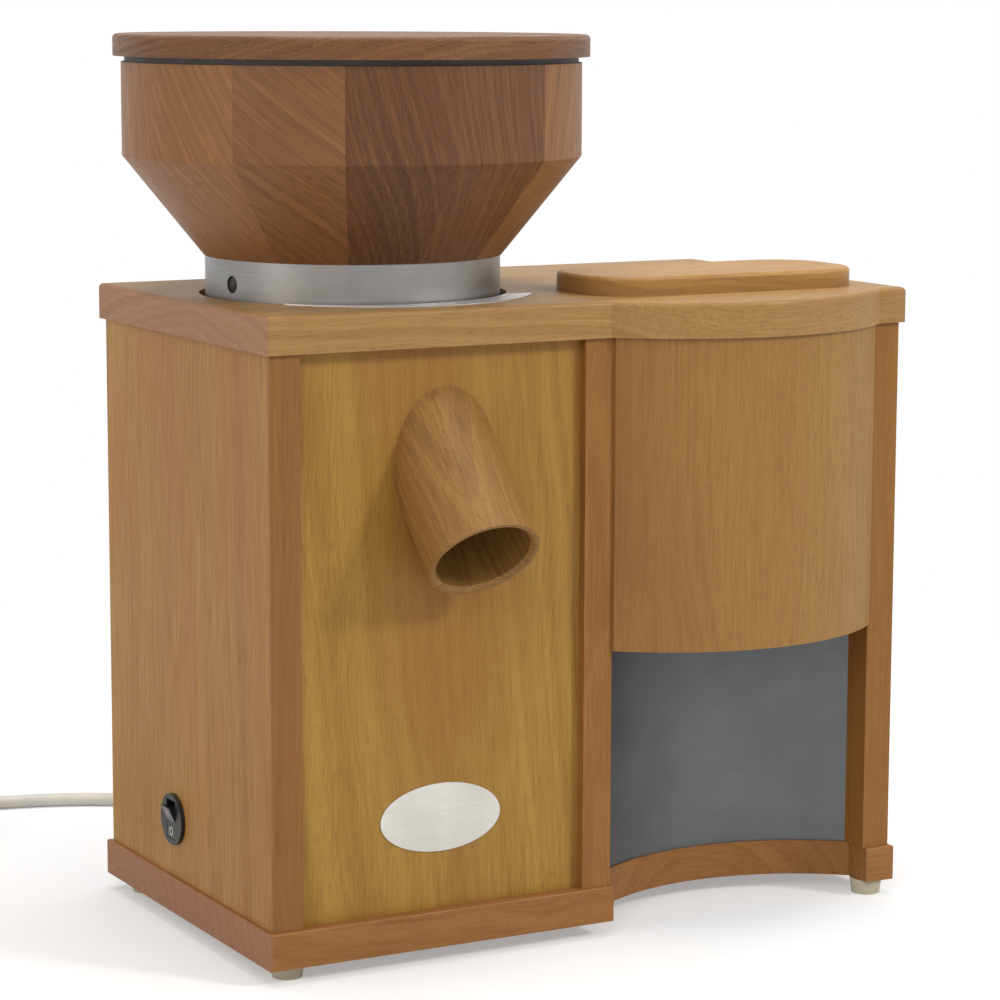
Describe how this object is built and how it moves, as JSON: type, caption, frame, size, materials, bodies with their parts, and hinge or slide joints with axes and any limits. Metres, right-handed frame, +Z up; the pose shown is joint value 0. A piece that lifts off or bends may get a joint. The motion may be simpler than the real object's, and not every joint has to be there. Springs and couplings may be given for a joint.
{
  "type": "electric grain mill",
  "caption": "Wooden tabletop grain mill with a turning hopper and flour spout, joined to a bow-fronted grain flaker over a bowl niche.",
  "frame": {"origin": "middle of the footprint's bounding box, on the table", "axes": "+Z up, the spout and the bow face -Y, the hopper is on the -X side"},
  "size_m": [0.4595, 0.4015, 0.3961],
  "materials": {
    "panel_wood": "oiled",
    "front_wood": "oiled",
    "board_wood": "oiled",
    "hopper_wood": "oiled",
    "spout_wood": "oiled",
    "veneer": "oiled",
    "inner_wood": "sanded",
    "ring_metal": "satin",
    "liner_steel": "brushed",
    "plate_metal": "brushed",
    "scale_foil": "satin",
    "seal_rubber": "matt",
    "foot_rubber": "matt",
    "switch_plastic": "satin",
    "cord_plastic": "satin",
    "tie_fabric": "woven",
    "plug_plastic": "satin",
    "stone": "rough",
    "chamber_metal": "cast",
    "steel": "machined",
    "zinc_steel": "zinc plated",
    "motor_paint": "satin",
    "lamination": "laminated",
    "bronze": "sintered",
    "capacitor_plastic": "satin",
    "gear_steel": "machined"
  },
  "bodies": {
    "cabinet": {"base_board": "board_wood", "top_plate": "board_wood", "left_panel": "panel_wood", "middle_panel": "panel_wood", "right_panel": "panel_wood", "front_panel": "front_wood", "rear_panel": "panel_wood", "bow_panel": "veneer", "flaker_floor": "inner_wood", "niche_liner": "liner_steel", "feet": "foot_rubber", "foot_screws": "zinc_steel", "name_plate": "plate_metal", "scale_plate": "scale_foil", "spout": "spout_wood", "grinding_chamber": "chamber_metal", "motor_plate": "zinc_steel", "motor_rails": "inner_wood", "motor_housing": "motor_paint", "stator": "lamination", "motor_bearings": "steel", "capacitor": "capacitor_plastic", "mill_switch_body": "switch_plastic", "flaker_switch_body": "switch_plastic", "switch_pins": "steel", "bearing_plates": "zinc_steel", "flaker_bushes": "bronze", "gearbox": "chamber_metal", "gear_motor": "motor_paint", "scraper_blades": "steel", "flaker_hopper": "liner_steel", "cord_gland": "cord_plastic", "power_cord": "cord_plastic", "cord_coil": "cord_plastic", "cord_tie": "tie_fabric", "power_plug": "plug_plastic"},
    "stone_carriage": {"upper_stone": "stone", "stone_holder": "zinc_steel", "stone_springs": "steel"},
    "hopper": {"adjusting_ring": "ring_metal", "hopper_bowl": "hopper_wood"},
    "hopper_cover": {"hopper_lid": "board_wood", "lid_seal": "seal_rubber"},
    "mill_drive": {"rotor": "lamination", "motor_shaft": "steel", "motor_fan": "switch_plastic", "stone_carrier": "chamber_metal", "lower_stone": "stone", "carrier_nut": "zinc_steel"},
    "flaker_cover": {"flaker_lid": "board_wood"},
    "rear_roller_shaft": {"rear_roller": "steel", "rear_axle": "steel", "rear_gear": "gear_steel"},
    "front_roller_shaft": {"front_roller": "steel", "front_axle": "steel", "front_gear": "gear_steel"},
    "flaker_drive": {"drive_pinion": "gear_steel", "pinion_shaft": "steel"},
    "mill_rocker": {"mill_switch_rocker": "switch_plastic"},
    "flaker_rocker": {"flaker_switch_rocker": "switch_plastic"}
  },
  "joints": [
    {"name": "stone_lift", "type": "slide", "parent": "cabinet", "child": "stone_carriage", "axis": [0, 0, 1], "range_m": [0, 0.0025]},
    {"name": "hopper_turn", "type": "hinge", "parent": "stone_carriage", "child": "hopper", "pos_m": [-0.06632, 0.01084, 0.283], "axis": [0, 0, 1], "range_deg": [0, 300]},
    {"name": "hopper_lid_lift", "type": "slide", "parent": "hopper", "child": "hopper_cover", "axis": [0, 0, 1], "range_m": [0, 0.08]},
    {"name": "mill_spin", "type": "hinge", "parent": "cabinet", "child": "mill_drive", "pos_m": [-0.06632, 0.01084, 0.23], "axis": [0, 0, 1], "continuous": true},
    {"name": "flaker_lid_lift", "type": "slide", "parent": "cabinet", "child": "flaker_cover", "axis": [0, 0, 1], "range_m": [0, 0.035]},
    {"name": "rear_roller_spin", "type": "hinge", "parent": "cabinet", "child": "rear_roller_shaft", "pos_m": [0.08368, -0.03596, 0.196], "axis": [1, 0, 0], "continuous": true},
    {"name": "front_roller_spin", "type": "hinge", "parent": "cabinet", "child": "front_roller_shaft", "pos_m": [0.08368, -0.07036, 0.196], "axis": [1, 0, 0], "continuous": true},
    {"name": "flaker_drive_spin", "type": "hinge", "parent": "cabinet", "child": "flaker_drive", "pos_m": [0.08368, -0.00328, 0.196], "axis": [1, 0, 0], "continuous": true},
    {"name": "mill_switch_tilt", "type": "hinge", "parent": "cabinet", "child": "mill_rocker", "pos_m": [-0.14632, 0.02534, 0.0495], "axis": [0, 1, 0], "range_deg": [0, 24]},
    {"name": "flaker_switch_tilt", "type": "hinge", "parent": "cabinet", "child": "flaker_rocker", "pos_m": [0.16368, 0.02534, 0.0495], "axis": [0, -1, 0], "range_deg": [0, 24]}
  ],
  "couplings": [
    {"joint": "stone_lift", "follows": "hopper_turn", "m_per_rad": 0.00047746},
    {"joint": "front_roller_spin", "follows": "rear_roller_spin", "ratio": -1},
    {"joint": "flaker_drive_spin", "follows": "rear_roller_spin", "ratio": -1.1111}
  ]
}
